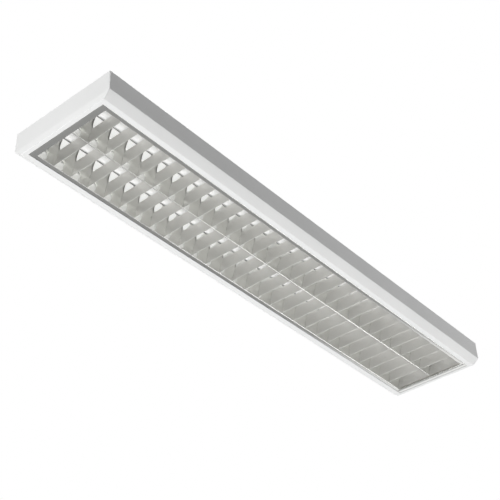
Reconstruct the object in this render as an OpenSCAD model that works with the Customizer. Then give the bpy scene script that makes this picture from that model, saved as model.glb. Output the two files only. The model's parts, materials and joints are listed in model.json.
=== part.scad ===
// Surface-mounted linear luminaire: a folded steel housing with two lamp tubes
// over a swing-down aluminium louvre with parabolic reflectors and V blades.
// X runs along the length and Z is up. The origin is the centre of the face
// that lies on the ceiling. Sub-parts are drawn with heights above the plane
// of the rim, and hung() then lowers them so that the ceiling face is at Z = 0.
// "near" is the end at -X and "far" the end at +X. "right" is the side at -Y.

/* [Housing] */
// Length of the housing
body_l = 1500; // [1200:10:1800]
// Width of the housing
body_w = 300; // [290:2:330]
// Height of the housing
body_h = 70; // [68:1:90]
// Thickness of the steel sheet
sheet_t = 1.0; // [0.7:0.1:1.2]
// Outer radius of the folds in the steel sheet
bend_r = 2; // [1.5:0.1:3]
// Width of the bevel along each long side
bevel_w = 19; // [10:1:24]
// Height of the bevel
bevel_h = 16.5; // [12:0.5:24]
// Width of the flat rim along each long side
rim_w = 13.4; // [12:0.1:20]
// Width of the flat rim at each end
end_rim_w = 10.5; // [9:0.5:14]
// How far each end leans in over the height of the bevel
end_lean = 2.7; // [0:0.1:4]
// Width of the flanges that join an end cap to the shell
cap_flange = 10; // [6:0.5:11]

/* [Ceiling fixing] */
// Distance between the fixing slots along the length
fix_x = 1200; // [600:10:1300]
// Distance between the fixing slots across the width
fix_y = 220; // [200:2:240]
// Width of a fixing slot
slot_w = 6.5; // [4.5:0.5:8]
// Length of a fixing slot
slot_l = 20; // [10:1:30]
// Distance of the cable entry from the middle, towards the near end
entry_x = 40; // [30:1:60]
// Radius of the cable entry in the grommet
entry_r = 5; // [4:0.5:6]
// Radius of the hole that holds the grommet
grommet_r = 9; // [8:0.5:10]

/* [Gear tray] */
// Thickness of the tray's steel sheet
tray_t = 0.8; // [0.6:0.1:1]
// Room between the tray and the back of the housing
tray_room = 2.7; // [2.7:0.1:4]
// Room for a screwdriver between the tray and a fixing slot
tray_gap = 10; // [6:1:14]
// Outer radius of the folds along the tray's edges
tray_bend = 1.6; // [1.4:0.1:3]
// Depth of the turned-down ends that carry the lampholders
tray_end_h = 16; // [14:1:19]

/* [Lamps] */
// Radius of a lamp tube
tube_r = 8; // [7:0.25:8]
// Wall of a lamp tube
tube_wall = 0.8; // [0.6:0.1:1]
// Length of the metal cap on each end of a tube
lamp_cap_l = 14; // [10:1:18]
// Depth of a tube's end inside its cap
lamp_cap_lap = 4; // [2:0.5:8]
// Drop of the lamp's axis below the tray
lamp_drop = 10.5; // [10:0.25:12]
// Room beyond each end of a lamp for its lampholder
lamp_end_room = 25.5; // [25:0.5:30]
// Distance between the two contact pins
pin_pitch = 4.75; // [4.5:0.05:5]
// Radius of a contact pin
pin_r = 1.2; // [1:0.05:1.3]
// Length of a contact pin
pin_l = 7.2; // [6:0.2:7.4]
// Thickness of the wall at the end of a tube's cap
cap_end_t = 1.5; // [1:0.1:2]
// Thickness of a lampholder
holder_t = 12.2; // [12:0.1:12.8]
// Radius of a lampholder's rounded end
holder_r = 10; // [9:0.25:11]
// Radius of the rotor in a lampholder
rotor_r = 6; // [5:0.25:7]
// Width of the light-emitting strip inside a tube
strip_w = 11; // [8:0.5:12]
// Length of an emitter
led_l = 3.5; // [2:0.1:5]
// Width of an emitter
led_w = 2.8; // [2:0.1:5]
// Distance between the emitters on the strip
led_pitch = 20; // [10:1:40]

/* [Louvre] */
// Gap between the louvre and the edge of the housing's opening
louvre_gap = 0.8; // [0.6:0.1:2]
// Thickness of the reflectors' aluminium sheet
foil_t = 0.5; // [0.3:0.1:0.8]
// Outer radius of the folds in the aluminium sheet
foil_bend = 0.85; // [0.82:0.01:0.9]
// Height of the louvre's flange above the rim plane
flange_lift = 0.7; // [0.5:0.1:2]
// Width of the flange along each long side
flange_w = 10.1; // [9:0.1:14]
// Height of the flange's turned-up edge
lip_h = 11; // [8:0.5:12]
// Height of the blades' lower edge above the rim plane
ridge_rise = 6.9; // [5:0.1:10]
// Width of the fold at the bottom of the middle reflector
ridge_w = 1.8; // [1.4:0.1:3]
// Width of the tunnel between the tops of the middle reflector, for the gear
tunnel_w = 64; // [56:0.2:66]
// Power of the curve that the reflectors follow
curve_power = 3; // [2:0.25:4]
// Gap between the reflectors' top edge and the tray
reflector_gap = 3.5; // [3:0.25:6]
// Height of a blade
blade_h = 36.1; // [28:0.1:38]
// Thickness of a blade's sheet
blade_t = 0.3; // [0.2:0.05:0.4]
// Width of the fold at a blade's lower edge
blade_fold = 0.6; // [0.4:0.1:1]
// Width of a blade across its open top
blade_flare = 4; // [3:0.25:8]
// Distance wanted from one blade to the next
cell_pitch = 51.4; // [40:0.2:80]
// Width of the flat strip at each end of the louvre
end_strip = 17; // [16:0.5:20]
// Gap between a blade and the reflectors that hold it
seat_gap = 0.15; // [0.05:0.05:0.3]
// Height of a blade's tabs above its fold
tab_rise = 20; // [14:0.5:22]
// Width of a blade's tabs
tab_w = 5; // [3:0.5:6]
// How far a tab reaches past the reflector that it is seated in
tab_l = 1.2; // [0.8:0.1:1.3]
// Clearance of a tab in its slot
tab_gap = 0.15; // [0.05:0.05:0.3]
// Gap between the reflectors and the end plates
end_gap = 0.1; // [0.05:0.05:0.3]

/* [Hinge and catch] */
// Radius of the hinge pins and the catch studs
hinge_r = 1.5; // [1:0.1:2]
// Distance of the hinge axis from the louvre's edge and its lower face
hinge_inset = 5; // [4:0.1:6]
// Clearance of a pin or rotor that turns, on the radius
run_gap = 0.05; // [0.02:0.01:0.09]
// Thickness of the brackets
bracket_t = 1.2; // [0.8:0.1:1.5]
// Height of the catch stud above the rim plane
catch_h = 16.5; // [16:0.5:20]
// Clearance of the catch clip round its stud, on each side
catch_gap = 0.3; // [0.25:0.05:0.5]
// Distance of the brackets from the edge of the housing's opening
bracket_gap = 4.2; // [4:0.1:5]
// Width of a bracket on each side of its pin or stud
bracket_side = 5; // [3.5:0.1:5]

/* [Gear] */
// Length of the driver's case
driver_l = 360; // [280:5:420]
// Width of the driver's case
driver_w = 28; // [24:0.5:29]
// Height of the driver's case with its lid
driver_h = 15.5; // [12:0.5:16]
// Height of the skirts of the driver's lid
lid_skirt = 5; // [3:0.5:8]
// Distance from the middle to the driver
driver_x = 60; // [50:1:100]
// Length of the terminal block
term_l = 40; // [30:1:50]
// Width of the terminal block
term_w = 22; // [18:0.5:24]
// Height of the terminal block
term_h = 14; // [12:0.5:15]
// Radius of a release button
button_r = 2; // [1.5:0.1:2.5]
// Travel of a release button
button_travel = 1.5; // [1:0.1:2]
// Distance between the release buttons
button_pitch = 11; // [9:0.5:12]
// Radius of a wire with its insulation
wire_r = 1.1; // [0.8:0.05:1.3]
// Distance of the tray locks from the ends of the tray
lock_inset = 48; // [44:1:80]
// Radius of a tray lock's knob
knob_r = 8; // [7:0.25:9]
// Radius of a tray lock's shaft
lock_r = 2.5; // [2:0.1:3]

/* [Hidden] */
$fn = 48;
// Small overlap past a face that a hole or cut runs through
cut = 1;

// Housing
half_l = body_l / 2;
half_w = body_w / 2;
open_y = half_w - bevel_w - rim_w;
open_x = half_l - end_lean - end_rim_w;
back_z = body_h - sheet_t;
flange_inset = 2;
flange_end = 4;

// Gear tray and lamps
tray_z = back_z - tray_room - tray_t;
tray_y = fix_y / 2 - tray_gap;
lamp_z = tray_z - lamp_drop;
lamp_half = half_l - lamp_end_room;
face_gap = 0.3;
slot_gap = 0.2;
cap_proud = 0.3;
press_gap = 0.02;
holder_x = lamp_half + face_gap;
peg_r = 1.5;
peg_y = 5;
peg_z = lamp_z + 5.5;
strip_t = 1;
strip_z = lamp_z + sqrt(pow(tube_r - tube_wall - 0.3, 2) - pow(strip_w / 2, 2)) - strip_t;
tray_x = holder_x + holder_t + tray_t;
rotor_l = pin_l + cap_end_t;
led_t = 0.7;
emitters = floor((2 * (lamp_half - lamp_cap_l)) / led_pitch) - 1;

// Louvre
louvre_y = open_y - louvre_gap;
louvre_x = open_x - louvre_gap;
trough_y = louvre_y - flange_w;
row_y = (trough_y + ridge_w / 2) / 2;
trough_half = row_y - ridge_w / 2;
reflector_z = tray_z - reflector_gap;
wall_x = louvre_x - end_strip;
blade_z = ridge_rise + blade_h;
cells = round(2 * wall_x / cell_pitch);
pitch = 2 * wall_x / cells;
curve_steps = 9;
blade_steps = 4;
tab_z = ridge_rise + tab_rise;

// Hinge and catch
hinge_y = louvre_y - hinge_inset;
hinge_z = flange_lift + hinge_inset;
bracket_x = open_x + bracket_gap;
bracket_top = 5;
rivet_t = 0.8;
stud_reach = 9;

// Gear
driver_end = driver_x + driver_l;
plug_l = 12;
plug_inset = 1;
plug_drop = 5;
ear_l = 24;
ear_t = 1.2;
lid_t = 1.2;
screw_r = 2;
screw_gap = 0.1;
screw_inset = 5;
screw_tip = 1.2;
driver_screw_x = [driver_x - ear_l + screw_inset, driver_end + ear_l - screw_inset];
entry_hole_r = grommet_r + 5;
term_x = -entry_x - entry_hole_r - 1 - term_l / 2;
earth_x = term_x - term_l;
term_bottom = tray_z - term_h;
core_y = [-6, 0, 6];
button_well = 7;
wire_z = tray_z - 7.5;
lamp_wire_y = 11;
elbow_r = 6;
wire_lap = 4;
lock_x = tray_x - lock_inset;
clip_count = 3;
clip_start = driver_end + ear_l;
clip_pitch = (holder_x - clip_start) / (clip_count + 1);

// Half width of a trough at height h: upright at the rim, closing in upwards
function trough(h) =
    trough_half - (tunnel_w - ridge_w) / 2 * pow(h / reflector_z, curve_power);

// Half width of a blade at height u above its fold
function blade(u) =
    blade_fold / 2 + (blade_flare - blade_fold) / 2 * pow(u / blade_h, 1.8);

// Unit vector from a to b
function towards(a, b) = (b - a) / norm(b - a);

// The open path through points, with each corner turned at radius r in n steps
function bent(points, r, n = 4) = [
    points[0],
    for (i = [1:len(points) - 2])
        let (one = towards(points[i], points[i - 1]),
             two = towards(points[i], points[i + 1]),
             half = acos(one * two) / 2,
             centre = points[i] + towards([0, 0], one + two) * r / sin(half))
        for (k = [0:n])
            let (arm = points[i] - centre + (one * (n - k) + two * k) / n * r / tan(half))
            centre + towards([0, 0], arm) * r,
    points[len(points) - 1]
];

// The path moved to its left by t, along the mean of its two directions at each point
function beside(path, t) = [
    for (i = [0:len(path) - 1])
        let (last = len(path) - 1,
             before = towards(path[max(i - 1, 0)], path[max(i, 1)]),
             after = towards(path[min(i, last - 1)], path[min(i + 1, last)]),
             mean = towards([0, 0], before + after))
        path[i] + [-mean[1], mean[0]] * t / (mean * before)
];

function reversed(list) = [for (i = [len(list) - 1:-1:0]) list[i]];
function tail(list) = [for (i = [1:len(list) - 1]) list[i]];
function mirrored(points) = [for (point = reversed(points)) [-point[0], point[1]]];

// Section of a sheet of thickness t, folded along a path with its other face on the left
module sheet(path, t) { polygon(concat(path, reversed(beside(path, t)))); }

module hung() { translate([0, 0, -body_h]) children(); }
module at_far(side) { mirror([side < 0 ? 1 : 0, 0, 0]) children(); }
module at_left(side) { mirror([0, side < 0 ? 1 : 0, 0]) children(); }

// A section in Y and Z carried along X over the length l, about the middle
module along_x(l) { rotate([90, 0, 90]) linear_extrude(l, center = true) children(); }

// A section in X and Z carried along Y over the width w, about the middle
module along_y(w) { rotate([90, 0, 0]) linear_extrude(w, center = true) children(); }

// A rod along X from x0 to x1
module rod(x0, x1, y, z, r) { translate([x0, y, z]) rotate([0, 90, 0]) cylinder(x1 - x0, r, r); }

// A box from one corner to the other
module block(a, b) { translate(a) cube(b - a); }

// Outer face of the folded shell, seen from its end, and of a pressed end, seen from the side
shell_path = let (side = [[open_y, 0], [half_w - bevel_w, 0], [half_w, bevel_h], [half_w, body_h]])
    bent(concat(side, mirrored(side)), bend_r);
cap_path = bent(
    [[open_x, 0], [half_l - end_lean, 0], [half_l, bevel_h], [half_l, body_h]], bend_r);
cap_inside = tail(beside(cap_path, sheet_t));
rim_end = cap_inside[0][0];

// Space between the inner faces of the two pressed ends, and between the bends at their feet
module between_caps() {
    far = concat([[rim_end, -cut], cap_inside[0]], tail(cap_inside));
    polygon(concat(far, mirrored(far)));
}

module fixing_slot() {
    translate([0, 0, back_z - cut]) {
        translate([-(slot_l - slot_w) / 2, -slot_w / 2, 0])
            cube([slot_l - slot_w, slot_w, sheet_t + 2 * cut]);
        for (side = [-1, 1])
            translate([side * (slot_l - slot_w) / 2, 0, 0])
                cylinder(sheet_t + 2 * cut, slot_w / 2, slot_w / 2);
    }
}

module housing_shell() {
    color("white") hung() difference() {
        intersection() {
            along_x(body_l) sheet(shell_path, sheet_t);
            along_y(body_w + cut) between_caps();
        }
        for (x = [-fix_x / 2, fix_x / 2], y = [-fix_y / 2, fix_y / 2])
            translate([x, y, 0]) fixing_slot();
        translate([-entry_x, 0, back_z - cut])
            cylinder(sheet_t + 2 * cut, grommet_r, grommet_r);
    }
}

// Pressed end: a face with a leaning foot, a rim between the shell's, and three inner flanges
module end_cap(side) {
    inner_x = half_l - sheet_t;
    flange_y = half_w - sheet_t;
    color("white") hung() at_far(side) {
        difference() {
            intersection() {
                along_y(body_w + cut) sheet(cap_path, sheet_t);
                along_x(2 * body_l) polygon(shell_path);
            }
            for (y = [-half_w - cut, open_y])
                block([open_x - cut, y, -cut], [rim_end, y + half_w + cut - open_y, sheet_t + cut]);
        }
        block([inner_x - cap_flange, -flange_y + flange_inset, back_z - sheet_t],
              [inner_x + sheet_t / 2, flange_y - flange_inset, back_z]);
        for (y = [-flange_y, flange_y - sheet_t])
            block([inner_x - cap_flange, y, bevel_h + flange_end],
                  [inner_x + sheet_t / 2, y + sheet_t, back_z - flange_end]);
    }
}

// Inverted tray with turned-up edges and turned-down ends
module gear_tray() {
    color("white") hung() difference() {
        union() {
            along_x(2 * tray_x) sheet(bent(
                [[-tray_y, back_z], [-tray_y, tray_z], [tray_y, tray_z], [tray_y, back_z]],
                tray_bend), tray_t);
            for (x = [-tray_x, tray_x - tray_t])
                block([x, -tray_y + tray_bend, tray_z - tray_end_h],
                      [x + tray_t, tray_y - tray_bend, tray_z + tray_t]);
        }
        translate([-entry_x, 0, tray_z - cut])
            cylinder(tray_t + 2 * cut, entry_hole_r, entry_hole_r);
        for (x = [-lock_x, lock_x])
            translate([x, 0, tray_z - cut])
                cylinder(tray_t + 2 * cut, lock_r + run_gap, lock_r + run_gap);
        for (x = concat(driver_screw_x, [earth_x]))
            translate([x, 0, tray_z - cut])
                cylinder(tray_t + 2 * cut, screw_r + screw_gap, screw_r + screw_gap);
        for (x = [-tray_x - cut, tray_x - tray_t - cut], row = [-1, 1], dy = [-peg_y, peg_y])
            rod(x, x + tray_t + 2 * cut, row * row_y + dy, peg_z, peg_r + screw_gap);
    }
}

// Hat-shaped bridge that a tray lock grips
module tray_bridge(side) {
    bridge_l = 24;
    foot = 8;
    span = 16;
    z0 = tray_z + tray_t;
    z1 = z0 + tray_t;
    color("lightgrey") hung() translate([side * lock_x, 0, 0]) difference() {
        union() {
            block([-bridge_l / 2, -span, z0], [bridge_l / 2, span, z1]);
            for (y = [-1, 1]) at_left(y) {
                block([-bridge_l / 2, span, z0], [bridge_l / 2, span + tray_t, back_z]);
                block([-bridge_l / 2, span, back_z - tray_t], [bridge_l / 2, span + foot, back_z]);
            }
        }
        block([-8, -lock_r - 0.4, z0 - cut], [8, lock_r + 0.4, z1 + cut]);
    }
}

// Quarter-turn lock: knob with a grip, shaft and cross bar
module tray_lock(side) {
    knob_t = 2.6;
    grip_t = 3.2;
    grip_h = 3.4;
    bar = [2.2, 6.5, 1.1];
    bar_z = tray_z + 2 * tray_t + 0.15;
    knob_z = tray_z - 0.2;
    color("gainsboro") hung() translate([side * lock_x, 0, 0]) {
        translate([0, 0, knob_z - knob_t]) cylinder(knob_t, knob_r - 0.6, knob_r);
        block([-knob_r + 1, -grip_t / 2, knob_z - knob_t - grip_h],
              [knob_r - 1, grip_t / 2, knob_z - knob_t / 2]);
        translate([0, 0, knob_z - cut]) cylinder(bar_z - knob_z + cut + bar[2] / 2, lock_r, lock_r);
        block([-bar[0], -bar[1], bar_z], [bar[0], bar[1], bar_z + bar[2]]);
    }
}

// Lampholder with a round bore for its rotor and a slot for the pins
module lampholder(side, row) {
    back = holder_x + holder_t;
    color("white") hung() at_far(side) at_left(row) difference() {
        union() {
            rod(holder_x, back, row_y, lamp_z, holder_r);
            block([holder_x, row_y - holder_r, lamp_z], [back, row_y + holder_r, tray_z]);
            for (dy = [-peg_y, peg_y]) rod(back - cut, back + tray_t + 1, row_y + dy, peg_z, peg_r);
        }
        rod(holder_x - cut, holder_x + rotor_l + screw_gap, row_y, lamp_z, rotor_r + run_gap);
        block([holder_x - cut, row_y - pin_r - slot_gap, lamp_z - holder_r - cut],
              [holder_x + pin_l + slot_gap, row_y + pin_r + slot_gap, lamp_z]);
    }
}

// Rotor that grips the lamp's two pins and turns with them
module rotor(side, row) {
    color("ivory") hung() at_far(side) at_left(row) difference() {
        rod(holder_x, holder_x + rotor_l, row_y, lamp_z, rotor_r);
        block([holder_x - cut, row_y - rotor_r - cut, lamp_z - pin_r - run_gap],
              [holder_x + pin_l, row_y + rotor_r + cut, lamp_z + pin_r + run_gap]);
    }
}

module tube(row) {
    end = lamp_half - lamp_cap_l + lamp_cap_lap;
    color("white") hung() at_left(row) difference() {
        rod(-end, end, row_y, lamp_z, tube_r);
        rod(-end - cut, end + cut, row_y, lamp_z, tube_r - tube_wall);
    }
}

module tube_cap(side, row) {
    start = lamp_half - lamp_cap_l;
    color("silver") hung() at_far(side) at_left(row) difference() {
        rod(start, lamp_half, row_y, lamp_z, tube_r + cap_proud);
        rod(start - cut, start + lamp_cap_lap, row_y, lamp_z, tube_r + press_gap);
        rod(start - cut, lamp_half - cap_end_t, row_y, lamp_z, tube_r - tube_wall);
        for (dy = [-pin_pitch / 2, pin_pitch / 2])
            rod(lamp_half - cap_end_t - cut, lamp_half + cut, row_y + dy, lamp_z, pin_r);
    }
}

// Both pairs of contact pins of one tube
module tube_pins(row) {
    color("goldenrod") hung() at_left(row)
        for (side = [-1, 1], dy = [-pin_pitch / 2, pin_pitch / 2])
            at_far(side) rod(lamp_half - cap_end_t, lamp_half + pin_l, row_y + dy, lamp_z, pin_r);
}

// Circuit strip inside one tube, above its axis
module led_strip(row) {
    end = lamp_half - lamp_cap_l;
    color("whitesmoke") hung() at_left(row)
        block([-end, row_y - strip_w / 2, strip_z], [end, row_y + strip_w / 2, strip_z + strip_t]);
}

module leds(row) {
    color("khaki") hung() at_left(row)
        for (i = [0:emitters - 1])
            translate([(i - (emitters - 1) / 2) * led_pitch, row_y, strip_z - led_t / 2])
                cube([led_l, led_w, led_t], center = true);
}

// Outer face of the driver's lid, seen from its end
lid_path = let (low = tray_z - driver_h,
                side = [[driver_w / 2, low], [driver_w / 2, low + lid_skirt]])
    bent(concat(mirrored(side), side), 1.5 * lid_t);

// Base of the driver, with a fixing ear at each end
module driver_case() {
    base_y = driver_w / 2 - lid_t;
    color("whitesmoke") hung() difference() {
        union() {
            translate([driver_x + driver_l / 2, 0, 0]) along_x(driver_l) polygon(concat(
                [[-base_y, tray_z]], beside(lid_path, lid_t), [[base_y, tray_z]]));
            block([driver_x - ear_l, -base_y, tray_z - ear_t], [driver_end + ear_l, base_y, tray_z]);
        }
        for (x = driver_screw_x)
            translate([x, 0, tray_z - ear_t - cut])
                cylinder(ear_t + 2 * cut, screw_r + screw_gap, screw_r + screw_gap);
    }
}

// Lid with skirts that clip over the base
module driver_lid() {
    color("white") hung()
        translate([driver_x + driver_l / 2, 0, 0]) along_x(driver_l) sheet(lid_path, lid_t);
}

// Plug-in connectors at both ends of the driver
module driver_plugs() {
    color("dimgray") hung()
        for (x = [driver_x - plug_l, driver_end])
            block([x, -driver_w / 2 + lid_t + plug_inset, wire_z - plug_drop],
                  [x + plug_l, driver_w / 2 - lid_t - plug_inset, tray_z - ear_t]);
}

// Pan-head screw with its head below z
module pan_screw(x, z, grip) {
    head_t = 2.2;
    head_r = screw_r + 1.8;
    translate([x, 0, z - head_t]) cylinder(head_t, head_r - 0.3, head_r);
    translate([x, 0, z - head_t / 2]) cylinder(grip + head_t / 2, screw_r, screw_r);
}

module driver_screws() {
    color("silver") hung()
        for (x = driver_screw_x) pan_screw(x, tray_z - ear_t, ear_t + tray_t + screw_tip);
}

module earth_screw() {
    color("goldenrod") hung() pan_screw(earth_x, tray_z, tray_t + screw_tip);
}

function button_x(i) = term_x + (i - 1) * button_pitch;

module terminal_block() {
    start = term_x - term_l / 2;
    color("white") hung() difference() {
        block([start, -term_w / 2, term_bottom], [start + term_l, term_w / 2, tray_z]);
        for (i = [0:2])
            translate([button_x(i), 0, term_bottom - cut])
                cylinder(button_well + cut, button_r + run_gap, button_r + run_gap);
        for (y = core_y) rod(start - cut, start + wire_lap, y, wire_z, wire_r + 0.6);
    }
}

module release_button(i) {
    proud = button_travel + 0.5;
    inside = button_well - button_travel - 2;
    color(["firebrick", "steelblue", "seagreen"][i]) hung()
        translate([button_x(i), 0, term_bottom - proud])
            cylinder(proud + inside, button_r, button_r);
}

// Rubber grommet, flush with the ceiling face
module cable_grommet() {
    collar = 3;
    neck_r = grommet_r - 0.05;
    color("dimgray") hung() translate([-entry_x, 0, 0]) difference() {
        union() {
            translate([0, 0, back_z - collar]) cylinder(collar, grommet_r + collar, grommet_r + collar);
            translate([0, 0, back_z - cut]) cylinder(sheet_t + cut, neck_r, neck_r);
        }
        translate([0, 0, back_z - collar - cut])
            cylinder(collar + sheet_t + 2 * cut, entry_r, entry_r);
    }
}

module mains_wires() {
    color("saddlebrown") hung()
        for (y = core_y) rod(term_x + term_l / 2, driver_x - plug_l, y, wire_z, wire_r);
}

// One wire from the driver to each far lampholder
module lamp_wires() {
    turn_x = holder_x + wire_lap;
    color("gray") hung() for (row = [-1, 1]) at_left(row) {
        rod(driver_end + plug_l, turn_x - elbow_r, lamp_wire_y, wire_z, wire_r);
        translate([turn_x - elbow_r, lamp_wire_y + elbow_r, wire_z])
            rotate([0, 0, -90]) rotate_extrude(angle = 90)
                translate([elbow_r, 0]) circle(wire_r);
        translate([turn_x, lamp_wire_y + elbow_r, wire_z])
            rotate([-90, 0, 0])
                cylinder(row_y - holder_r - lamp_wire_y - elbow_r, wire_r, wire_r);
    }
}

// Saddles that hold the wires to the tray
module wire_clips() {
    saddle_l = 5;
    leg = 3;
    bar_t = 2;
    foot_z = wire_z - bar_t - 0.4;
    color("white") hung() for (i = [1:clip_count])
        translate([clip_start + i * clip_pitch, 0, 0]) difference() {
            block([0, -lamp_wire_y - leg, foot_z], [saddle_l, lamp_wire_y + leg, tray_z]);
            block([-cut, -lamp_wire_y + leg, foot_z - cut],
                  [saddle_l + cut, lamp_wire_y - leg, tray_z - bar_t]);
            for (y = [-lamp_wire_y, lamp_wire_y])
                rod(-cut, saddle_l + cut, y, wire_z, wire_r + run_gap);
        }
}

// Angle bracket on the end rim, with a hole for a pin at height z
module end_bracket(side, y, z, top, hole) {
    color("silver") hung() at_far(side) difference() {
        union() {
            block([bracket_x, y - bracket_side, sheet_t],
                  [bracket_x + bracket_t, y + bracket_side, top]);
            block([bracket_x, y - bracket_side, sheet_t],
                  [rim_end, y + bracket_side, sheet_t + bracket_t]);
        }
        rod(bracket_x - cut, bracket_x + bracket_t + cut, y, z, hole);
    }
}

module hinge_bracket(side) {
    end_bracket(side, -hinge_y, hinge_z, hinge_z + bracket_top, hinge_r + run_gap);
}

module catch_bracket(side) { end_bracket(side, hinge_y, catch_h, catch_h + bracket_top, hinge_r); }

// Stud that points inwards over the louvre's end strip
module catch_stud(side) {
    tip = louvre_x - stud_reach;
    color("silver") hung() at_far(side) {
        rod(tip, bracket_x + bracket_t, hinge_y, catch_h, hinge_r);
        rod(bracket_x + bracket_t, bracket_x + bracket_t + rivet_t, hinge_y, catch_h, hinge_r + 1);
    }
}

// Slots for the tabs of a row's blades in the reflector that stands at distance y from the middle
module tab_slots(y) {
    slot_x = blade(tab_rise + tab_w) + tab_gap;
    reach = foil_t + tab_w / 2;
    for (i = [1:cells - 1], x = [-wall_x + i * pitch])
        block([x - slot_x, y - reach, tab_z - tab_gap],
              [x + slot_x, y + reach, tab_z + tab_w + tab_gap]);
}

// Heights of the points on a reflector's curve above a fold at height low, from the top down
function wall_levels(low) =
    [for (i = [curve_steps:-1:1]) low + foil_bend + (reflector_z - low - foil_bend) * i / curve_steps];

// Side reflector: curved wall, bottom flange and turned-up edge in one sheet
module reflector(row) {
    wall = [for (h = wall_levels(flange_lift)) [row_y + trough(h), h]];
    edge = bent([
        [trough_y, reflector_z], [trough_y, flange_lift], [louvre_y, flange_lift],
        [louvre_y, flange_lift + lip_h / 2]
    ], foil_bend);
    color("silver") hung() at_left(row) difference() {
        along_x(2 * (wall_x - end_gap)) sheet(concat(wall, tail(edge)), foil_t);
        tab_slots(row_y + trough(tab_z + tab_w / 2));
    }
}

// Middle reflector: two curved walls and the fold between the rows, in one sheet
module reflector_middle() {
    wall = [for (h = wall_levels(ridge_rise)) [row_y - trough(h), h]];
    fold = bent([
        [-ridge_w / 2, reflector_z], [-ridge_w / 2, ridge_rise], [ridge_w / 2, ridge_rise],
        [ridge_w / 2, reflector_z]
    ], foil_bend);
    inner = [for (i = [1:len(fold) - 2]) fold[i]];
    color("silver") hung() difference() {
        along_x(2 * (wall_x - end_gap))
            sheet(concat(mirrored(reversed(wall)), inner, reversed(wall)), foil_t);
        for (side = [-1, 1]) tab_slots(side * (row_y - trough(tab_z + tab_w / 2)));
    }
}

// Section of one V blade, folded from one sheet and open at the top
module blade_section() {
    outer = [for (i = [0:blade_steps])
        let (u = blade_h * i / blade_steps) [blade(u), ridge_rise + u]];
    inner = [for (i = [blade_steps:-1:1])
        let (u = blade_h * i / blade_steps) [max(0.05, blade(u) - blade_t), ridge_rise + u]];
    half = concat(outer, inner);
    last = len(half) - 1;
    polygon(concat(
        half,
        [[0, ridge_rise + blade_h / blade_steps / 2]],
        [for (i = [last:-1:0]) [-half[i][0], half[i][1]]]
    ));
}

// Space between the reflectors of a row, less the seat gap, and the way of the blades' tabs
module trough_section() {
    tab_y = trough(tab_z) + foil_t + tab_l;
    levels = [ridge_rise - cut, ridge_rise + blade_h * 0.6, blade_z + cut];
    polygon(concat(
        [for (h = levels) [row_y + trough(h) - seat_gap, h]],
        [for (h = reversed(levels)) [row_y - trough(h) + seat_gap, h]]
    ));
    translate([row_y - tab_y, tab_z]) square([2 * tab_y, tab_w]);
}

// All the blades of one row, each with a tab at both ends
module blades(row) {
    color("gainsboro") hung() at_left(row) intersection() {
        translate([0, row_y, 0])
            for (i = [1:cells - 1]) translate([-wall_x + i * pitch, 0, 0])
                along_y(2 * (trough_half + foil_t + tab_l)) blade_section();
        along_x(body_l) trough_section();
    }
}

// End plate: turned-up edge, flat strip and a wall like half a blade
module louvre_end(side) {
    wall = [for (i = [blade_steps:-1:0])
        let (u = blade_h * i / blade_steps) [wall_x + blade(u) - blade_fold / 2, ridge_rise + u]];
    foot = bent([
        [wall_x, ridge_rise], [wall_x, flange_lift], [louvre_x, flange_lift],
        [louvre_x, flange_lift + lip_h]
    ], foil_bend);
    color("silver") hung() at_far(side) difference() {
        along_y(2 * louvre_y) sheet(concat(wall, tail(foot)), foil_t);
        rod(louvre_x - foil_t - cut, louvre_x + cut, -hinge_y, hinge_z, hinge_r + press_gap);
    }
}

// Headed pin through the louvre's turned-up end edge
module hinge_pin(side) {
    head_t = 1;
    start = louvre_x - foil_t;
    color("silver") hung() at_far(side) {
        rod(start - head_t, start, -hinge_y, hinge_z, hinge_r + 1.2);
        rod(start - cut / 2, bracket_x + bracket_t + 2, -hinge_y, hinge_z, hinge_r);
    }
}

// Spring clip on the louvre, open at the top round the catch stud
module catch_clip(side) {
    clip_t = 0.8;
    back = louvre_x - foil_t;
    mouth = hinge_r + catch_gap;
    leg = 1.6;
    color("lightgrey") hung() at_far(side) difference() {
        block([back - clip_t, hinge_y - mouth - leg, flange_lift + foil_bend],
              [back, hinge_y + mouth + leg, catch_h + hinge_r + 2]);
        block([back - clip_t - cut, hinge_y - mouth, catch_h], [back + cut, hinge_y + mouth, body_h]);
        rod(back - clip_t - cut, back + cut, hinge_y, catch_h, mouth);
    }
}

housing_shell();
end_cap(-1);  // end_cap_near
end_cap(1);  // end_cap_far
gear_tray();
tray_bridge(-1);  // tray_bridge_near
tray_bridge(1);  // tray_bridge_far
tray_lock(-1);  // tray_lock_near
tray_lock(1);  // tray_lock_far
lampholder(-1, 1);  // lampholder_near_left
lampholder(-1, -1);  // lampholder_near_right
lampholder(1, 1);  // lampholder_far_left
lampholder(1, -1);  // lampholder_far_right
rotor(-1, 1);  // rotor_near_left
rotor(-1, -1);  // rotor_near_right
rotor(1, 1);  // rotor_far_left
rotor(1, -1);  // rotor_far_right
tube(1);  // tube_left
tube_cap(-1, 1);  // tube_cap_near_left
tube_cap(1, 1);  // tube_cap_far_left
tube_pins(1);  // tube_pins_left
led_strip(1);  // led_strip_left
leds(1);  // leds_left
tube(-1);  // tube_right
tube_cap(-1, -1);  // tube_cap_near_right
tube_cap(1, -1);  // tube_cap_far_right
tube_pins(-1);  // tube_pins_right
led_strip(-1);  // led_strip_right
leds(-1);  // leds_right
driver_case();
driver_lid();
driver_plugs();
driver_screws();
terminal_block();
release_button(0);  // button_line
release_button(1);  // button_neutral
release_button(2);  // button_earth
cable_grommet();
earth_screw();
mains_wires();
lamp_wires();
wire_clips();
hinge_bracket(-1);  // hinge_bracket_near
hinge_bracket(1);  // hinge_bracket_far
catch_bracket(-1);  // catch_bracket_near
catch_bracket(1);  // catch_bracket_far
catch_stud(-1);  // catch_stud_near
catch_stud(1);  // catch_stud_far
reflector(1);  // reflector_left
reflector_middle();
reflector(-1);  // reflector_right
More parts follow.
